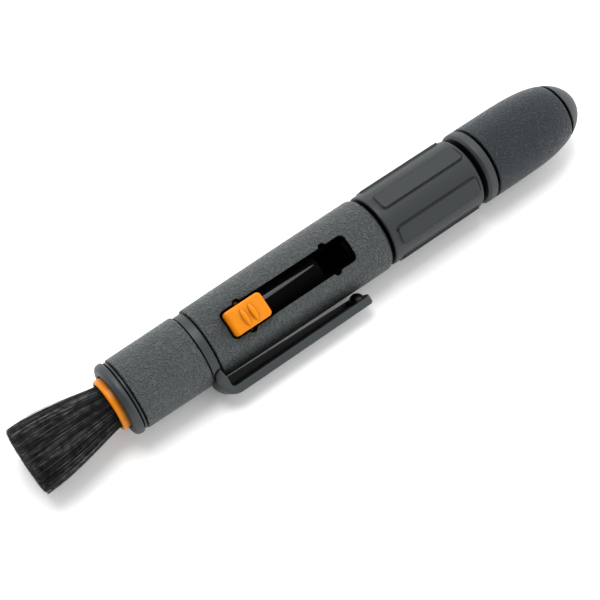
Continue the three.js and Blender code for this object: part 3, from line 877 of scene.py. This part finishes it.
def cap_inside():
    front, rear = span("cap_liner")
    radius = radii("cap_liner")[1]
    bore = radii("carbon_sponge")[1] + TOUCH
    floor = rear - 0.55
    piece = turned("cap_liner_cup", [
        [rear, 0],
        [rear, radius, 0.2],
        [front, radius, 0.15],
        [front, bore, 0.2],
        [floor, bore, 0.3],
        [floor, 0],
    ], "cap", BLACK_PLASTIC, closed=False)
    stands_for("cap_liner")
    front, rear = span("carbon_sponge")
    radius = radii("carbon_sponge")[1]
    piece = turned("carbon_sponge_disc", [
        [front + 0.15, 0],
        [front, radius * 0.6, 0.5],
        [front, radius, 0.2],
        [rear, radius, 0.2],
        [rear, 0],
    ], "cap", FOAM, closed=False)
    stands_for("carbon_sponge")


# --- Neck and cleaning tip --------------------------------

POST_RADIUS = 1.3
BALL_RADIUS = 1.5


def neck():
    front, rear = span("neck")
    ring_front, ring_rear = span("retaining_ring")
    shoulder = span("core_tube")[1] + TOUCH
    grip_rear = span("grip_collar")[1]
    core_bore, core = radii("core_tube")
    plug = core_bore - TOUCH
    radius = 4.9
    groove, groove_front, groove_rear = radius - 0.35, ring_front - 0.12, ring_rear + 0.12
    socket, socket_end = POST_RADIUS + TOUCH, rear - 6
    piece = turned("neck_turned", [
        [front, 0],
        [front, plug, 0.3],
        [shoulder, plug],
        [shoulder, core],
        [grip_rear, core],
        [grip_rear, radius],
        [groove_front, radius],
        [groove_front, groove],
        [groove_rear, groove],
        [groove_rear, radius, 0.08],
        [rear, radius, 0.35],
        [rear, socket, 0.1],
        [socket_end, socket],
        [socket_end, 0],
    ], "barrel", BLACK_PLASTIC, closed=False)
    stands_for("neck")


def tip():
    ball = JOINTS["tip_flex"]["pos_m"][0] / MM
    start, _ = span("tip_post")
    neck_end = span("neck")[1]
    lead = math.acos(POST_RADIUS / 2 / BALL_RADIUS)
    curve = [[ball + BALL_RADIUS * math.sin(a), BALL_RADIUS * math.cos(a)]
             for a in np.linspace(-lead, math.pi / 2, 24)[:-1]]
    piece = turned("tip_post_ball", [
        [start, 0],
        [start, POST_RADIUS, 0.2],
        [neck_end + 0.4, POST_RADIUS],
        [neck_end + 0.8, curve[0][1]],
        *curve,
        [ball + BALL_RADIUS, 0],
    ], "barrel", BLACK_PLASTIC, closed=False, segments=96)
    stands_for("tip_post")

    rear, front = span("tip_head")
    radius = radii("tip_pad")[1]
    cavity, cavity_end = 2.1, ball + 1.9
    waist = 2.8
    piece = turned("tip_head_bell", [
        [cavity_end, 0],
        [cavity_end, cavity, 0.6],
        [rear, cavity, 0.15],
        [rear, waist, 0.3],
        [rear + 3.1, waist + 0.1, 1.0],
        [front - 1.1, radius, 0.7],
        [front, radius, 0.2],
        [front, 0],
    ], "tip", BLACK_RUBBER, closed=False)
    stands_for("tip_head")

    rear, front = span("tip_pad")
    dish = front - 0.16
    piece = turned("tip_pad_suede", [
        [rear, 0],
        [rear, radius, 0.1],
        [front, radius, 0.25],
        [dish + 0.04, radius * 0.5, 1.0],
        [dish, 0],
    ], "tip", SUEDE, closed=False)
    stands_for("tip_pad")


# --- Brush carriage ---------------------------------------

BUTTON_TOP = 8.0
BUTTON_BOTTOM = 5.8
BUTTON_HALF = 2.32
BUTTON_CORNER = 0.8
BUTTON_Y = -0.08


def button_rings(front, rear):
    """The button from its underside to its top, with its fillet steeper at the brush end."""
    reach = BUTTON_HALF - BUTTON_CORNER
    low, high = front + BUTTON_CORNER, rear - BUTTON_CORNER
    outline = []
    for i, (x, y) in enumerate([(high, reach), (low, reach), (low, -reach), (high, -reach)]):
        for a in np.linspace(0, math.pi / 2, 12) + i * math.pi / 2:
            nx, ny = math.cos(a), math.sin(a)
            outline.append((x + BUTTON_CORNER * nx, BUTTON_Y + y + BUTTON_CORNER * ny, nx, ny))
    rings = [[(x, y, BUTTON_BOTTOM) for x, y, _, _ in outline]]
    for a in np.linspace(0, math.pi / 2, 9):
        inset, height = 1 - math.cos(a), math.sin(a)
        ring = []
        for x, y, nx, ny in outline:
            forward = max(0.0, -nx) ** 2
            shift = inset * (0.32 + 0.4 * forward)
            drop = (1 - height) * (0.34 + 1.1 * forward)
            ring.append((x - nx * shift, y - ny * shift, BUTTON_TOP - drop))
        rings.append(ring)
    rim = rings[-1]
    middle_x = (front + rear) / 2
    for w in (0.3, 0.6, 0.85):
        rings.append([(x + (middle_x - x) * w, y + (BUTTON_Y - y) * w, z + 0.05 * w) for x, y, z in rim])
    return rings


def rib_rings(x):
    """A lens-shaped rib across the button."""
    half_length, half_width, height, middle_y, sink = 1.78, 0.62, 0.45, -0.3, 0.1
    rings = []
    for y in np.linspace(-half_length, half_length, 29):
        share = max(0.02, 1 - (y / half_length) ** 2) ** 0.6
        rings.append([(x + half_width * share * math.cos(a), middle_y + y,
                       BUTTON_TOP - sink + (height + sink) * share * math.sin(a))
                      for a in np.linspace(0, 2 * math.pi, 21)[:-1]])
    return rings


def thumb_slider():
    """A soft-edged button with two ribs on it and a stem below it."""
    front, rear = span("thumb_slider")
    low, high, half = front + 0.75, rear - 0.75, 1.6
    section = [(low, -half), (high, -half), (high, half), (low, half)]
    stem = [[(x, y, z) for x, y in section] for z in (3.3, BUTTON_BOTTOM + 0.1)]
    ring_sets = [button_rings(front, rear), rib_rings(DETENT_X - 0.47), rib_rings(DETENT_X + 1.2), stem]
    piece = skinned("thumb_slider_button", ring_sets, "brush_carriage", ORANGE_PLASTIC, 45)
    stands_for("thumb_slider")


def brush_carrier():
    front, rear = span("brush_carrier")
    radius = radii("brush_carrier")[1]
    shoulder = span("brush_ferrule")[1] + TOUCH
    stub = 3.6
    piece = turned("brush_carrier_rod", [
        [front, 0],
        [front, stub, 0.2],
        [shoulder, stub],
        [shoulder, radius, 0.25],
        [rear, radius, 0.35],
        [rear, 0],
    ], "brush_carriage", BLACK_MATTE, closed=False)
    stands_for("brush_carrier")
    carrier_bead(radius, rear)


def carrier_bead(radius, carrier_rear):
    """The glossy guide bead along the top of the carrier, fading into it at both ends. Its grey, lighter
    than the black carrier, partly paints the highlight line that it catches.
    """
    middle_y, half_width, height, sink = 0.77, 0.42, 0.2, 0.03
    foot = math.sqrt(radius ** 2 - middle_y ** 2)
    stations = np.linspace(carrier_rear - 13, carrier_rear - 0.6, 40)
    start, end = stations[0], stations[-1]
    rings = []
    for x in stations:
        fade = 1 - 0.7 * ((x - start) / (end - start)) ** 2
        share = math.sqrt(min(1.0, min(x - start, end - x) / 0.8 + 0.01)) * fade
        rings.append([(x, middle_y + half_width * share * math.cos(a),
                       foot + height * share * math.sin(a) - sink)
                      for a in np.linspace(0, 2 * math.pi, 17)[:-1]])
    piece = skinned("brush_carrier_bead", [rings], "brush_carriage", BEAD_GLOSS)


def detent_spring():
    """A thin strip across the carriage, whose ends dip into the notches of the slot."""
    half_width, half_length, thickness, top, dip = 0.38, 2.98, 0.28, 6.25, 0.75
    rings = []
    for y in np.linspace(-half_length, half_length, 61):
        height = top - thickness / 2 - dip * smooth_step((abs(y) - 2.0) / 0.7)
        end = min(1.0, (half_length - abs(y)) / half_width + 0.02)
        share = math.sqrt(1 - (1 - end) ** 2)
        rings.append([(DETENT_X + half_width * share * math.cos(a), y,
                       height + thickness / 2 * math.sin(a) * share ** 0.3)
                      for a in np.linspace(0, 2 * math.pi, 17)[:-1]])
    # Its dark orange is painted shade; the strip is of the orange plastic.
    piece = skinned("detent_spring_strip", [rings], "brush_carriage", ORANGE_IN_SHADE)
    stands_for("detent_spring")


def brush_ferrule():
    front, rear = span("brush_ferrule")
    radius = radii("brush_ferrule")[1]
    cup, cup_floor = 4.2, front + 1.1
    socket, socket_floor = 3.9, front + 1.8
    piece = turned("brush_ferrule_ring", [
        [cup_floor, 0],
        [cup_floor, cup],
        [front, cup, 0.2],
        [front, radius, 0.5],
        [rear, radius, 0.2],
        [rear, socket],
        [socket_floor, socket],
        [socket_floor, 0],
    ], "brush_carriage", ORANGE_PLASTIC, closed=False)
    stands_for("brush_ferrule")


TUFT_SECTORS = 12
STRANDS_PER_SECTOR = 360
STRAND_SIDES = 3
LIGHT_SHARE = 0.085
SHORT_SHARE = 0.03
TUFT_ROOT_RADIUS = 3.85
TUFT_SPREAD = 2.4
TUFT_DROOP = 0.3


def tuft_radius(along):
    """Outer radius of the tuft, where along is 0 at the ferrule and 1 at the tip."""
    return TUFT_ROOT_RADIUS + TUFT_SPREAD * math.sin(min(1.0, along * 1.08) * math.pi / 2) ** 1.2


def across_pen(a):
    """A direction across the pen, by its angle from the slot's."""
    return np.array([0, math.sin(a), math.cos(a)])


def bristles():
    """Separate strands in sectors."""
    rng = np.random.default_rng(SEED)
    tip, root = span("bristles")
    length = root - tip
    widest = TUFT_ROOT_RADIUS + TUFT_SPREAD + 0.06
    sector_angle = 2 * math.pi / TUFT_SECTORS
    for sector in range(TUFT_SECTORS):
        vertices, faces, tones = [], [], []
        for _ in range(STRANDS_PER_SECTOR):
            share = math.sqrt(rng.uniform(0.02, 1.0))
            angle = (sector + rng.uniform(0, 1)) * sector_angle
            light = rng.uniform() < LIGHT_SHARE
            tone = rng.uniform(0.25, 0.85) if light else rng.beta(1.0, 12.0)
            drift = rng.normal(0, 0.035)
            lean = rng.normal(0, 0.03)
            dome = 0.1 * share ** 2 + 0.35 * share ** 12
            reach = length - dome - abs(rng.normal(0, 0.2))
            if rng.uniform() < SHORT_SHARE:
                reach -= rng.uniform(0.3, 1.6)
            thickness = rng.uniform(0.028, 0.042) if light else rng.uniform(0.034, 0.05)
            rings = []
            for t in np.linspace(0, 1, 8):
                x = root - reach * t
                thin = thickness * (1 - 0.55 * t ** 3)
                r = share * tuft_radius((root - x) / length) * (1 + lean * t * t)
                centre = min(r, widest - thin) * across_pen(angle + drift * t * t)
                centre += [x, -TUFT_DROOP * t * t, 0]
                rings.append([tuple(centre + thin * across_pen(2 * math.pi * side / STRAND_SIDES + angle))
                              for side in range(STRAND_SIDES)])
                # Strands are painted darker towards the root: painted shade deep in the tuft by the
                # ferrule.
                tones += [tone * min(1.0, 0.25 + 2.5 * t)] * STRAND_SIDES
            skin(vertices, faces, rings)
        piece = tuft_piece("bristle_tuft_%02d" % (sector + 1), vertices, faces, tones)
        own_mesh(piece)
        stands_for("bristles")


def tuft_piece(name, vertices, faces, tones):
    mesh = bpy.data.meshes.new(name)
    mesh.from_pydata(vertices, [], faces)
    mesh.transform(PEN_TO_FRAME)
    mesh.shade_smooth()
    layer = mesh.attributes.new("strand_tone", "FLOAT", "POINT")
    layer.data.foreach_set("value", np.array(tones, np.float32))
    piece = bpy.data.objects.new(name, mesh)
    bpy.context.scene.collection.objects.link(piece)
    piece.data.materials.append(FIBRE)
    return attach(piece, "brush_carriage")


# --- Object -----------------------------------------------

nose_bushing()
plain_ring("spacer_ring", "barrel", SMOOTH, 0.12)
front_sleeve()
plain_ring("clip_ring", "barrel", SMOOTH, 0.05)
clip_arm()
main_barrel()
grip_collar()
o_ring("grip_seal", "barrel")
neck()
plain_ring("retaining_ring", "barrel", BLACK_PLASTIC, 0.1)
tip()
twist_ring()
o_ring("cap_seal", "ring")
cap_shell()
cap_inside()
end_plug()
o_ring("plug_gasket", "cap")
thumb_slider()
detent_spring()
brush_carrier()
brush_ferrule()
bristles()

core_tube()


# --- Floor, light and camera ------------------------------

def floor():
    """A pale sheet that gives off a little light, so that its shadows stay pale too."""
    half, glow = 4.0, 0.12
    mesh = bpy.data.meshes.new("floor")
    corners = [(-half, -half, 0), (half, -half, 0), (half, half, 0), (-half, half, 0)]
    mesh.from_pydata(corners, [], [(0, 1, 2, 3)])
    n = Nodes("floor_paper")
    tone = n.noise(60.0, 2.0)
    base = n.blend_colour(tone, from_srgb(246, 246, 246), from_srgb(250, 250, 250))
    n.finish(base, n.remap(tone, 0.3, 0.7, 0.75, 0.85))
    n.shader.inputs["Emission Color"].default_value = (1, 1, 1, 1)
    n.shader.inputs["Emission Strength"].default_value = glow
    mesh.materials.append(n.material)
    sheet = bpy.data.objects.new("floor", mesh)
    bpy.context.scene.collection.objects.link(sheet)


def softbox(name, right, up, toward, size, power):
    """A round light aimed at the pen, placed in metres to the picture's right, up and to the camera."""
    data = bpy.data.lights.new(name, "AREA")
    data.shape = "DISK"
    data.size = size
    data.energy = power
    place = picture_right * right + picture_up * up + picture_back * toward
    lamp = bpy.data.objects.new(name, data)
    lamp.location = place
    lamp.rotation_mode = "QUATERNION"
    lamp.rotation_quaternion = place.to_track_quat("Z", "Y")
    bpy.context.scene.collection.objects.link(lamp)


def world(around, overhead, inner_angle, outer_angle):
    """White surroundings with a dimmer round patch above the pen, like a gap between softboxes.

    The patch fades out between its inner and outer angle, in degrees."""
    sky = bpy.data.worlds.new("soft_sky")
    sky.use_nodes = True
    tree = sky.node_tree
    facing = tree.nodes.new("ShaderNodeVectorMath")
    facing.operation = "DOT_PRODUCT"
    tree.links.new(tree.nodes.new("ShaderNodeTexCoord").outputs["Generated"], facing.inputs[0])
    patch_direction = picture_back - picture_right * 0.35 - picture_up * 0.1
    facing.inputs[1].default_value = patch_direction.normalized()
    patch = tree.nodes.new("ShaderNodeMapRange")
    patch.interpolation_type = "SMOOTHSTEP"
    tree.links.new(facing.outputs["Value"], patch.inputs["Value"])
    patch.inputs["From Min"].default_value = math.cos(math.radians(outer_angle))
    patch.inputs["From Max"].default_value = math.cos(math.radians(inner_angle))
    patch.inputs["To Min"].default_value = around
    patch.inputs["To Max"].default_value = overhead
    tree.nodes["Background"].inputs["Color"].default_value = (1, 1, 1, 1)
    tree.links.new(patch.outputs["Result"], tree.nodes["Background"].inputs["Strength"])
    bpy.context.scene.world = sky


# The camera's tilt towards the brush end, and the pen's rise to the right in the picture.
VIEW_TILT = math.radians(16.41)
VIEW_TURN = math.radians(33.70)

# Metres, and lens millimetres. The axis at AIM_X shows AIM_OFFSET right and up of the middle.
VIEW_DISTANCE = 0.2288
VIEW_LENS = 78.0
AIM_X = -0.004875
AIM_OFFSET = (-0.00088, 0.00301)


def camera():
    """Looks at the thumb slot from a little towards the brush end, with the pen rising to the right.

    Gives the picture's directions to the right, up and back towards the camera."""
    pen = PEN_TO_FRAME.to_3x3().normalized()
    along = pen @ Vector((math.cos(VIEW_TILT), 0, math.sin(VIEW_TILT)))
    across = pen @ Vector((0, 1, 0))
    right = math.cos(VIEW_TURN) * along - math.sin(VIEW_TURN) * across
    up = math.sin(VIEW_TURN) * along + math.cos(VIEW_TURN) * across
    back = right.cross(up)
    aim = Vector((AIM_X, AXIS_POINT.y, AXIS_POINT.z))
    place = aim + back * VIEW_DISTANCE - right * AIM_OFFSET[0] - up * AIM_OFFSET[1]
    data = bpy.data.cameras.new("camera")
    data.lens = VIEW_LENS
    data.sensor_width = 36
    data.clip_start = 0.01
    data.clip_end = 10
    eye = bpy.data.objects.new("camera", data)
    eye.matrix_world = Matrix.Translation(place) @ Matrix((right, up, back)).transposed().to_4x4()
    bpy.context.scene.collection.objects.link(eye)
    bpy.context.scene.camera = eye
    return right, up, back


floor()
picture_right, picture_up, picture_back = camera()
softbox("key", right=-0.12, up=0.50, toward=0.62, size=0.38, power=2.7)
world(around=1.18, overhead=0.08, inner_angle=26, outer_angle=54)
bpy.context.scene.view_settings.view_transform = "Standard"
bpy.context.scene.view_settings.look = "Medium High Contrast"
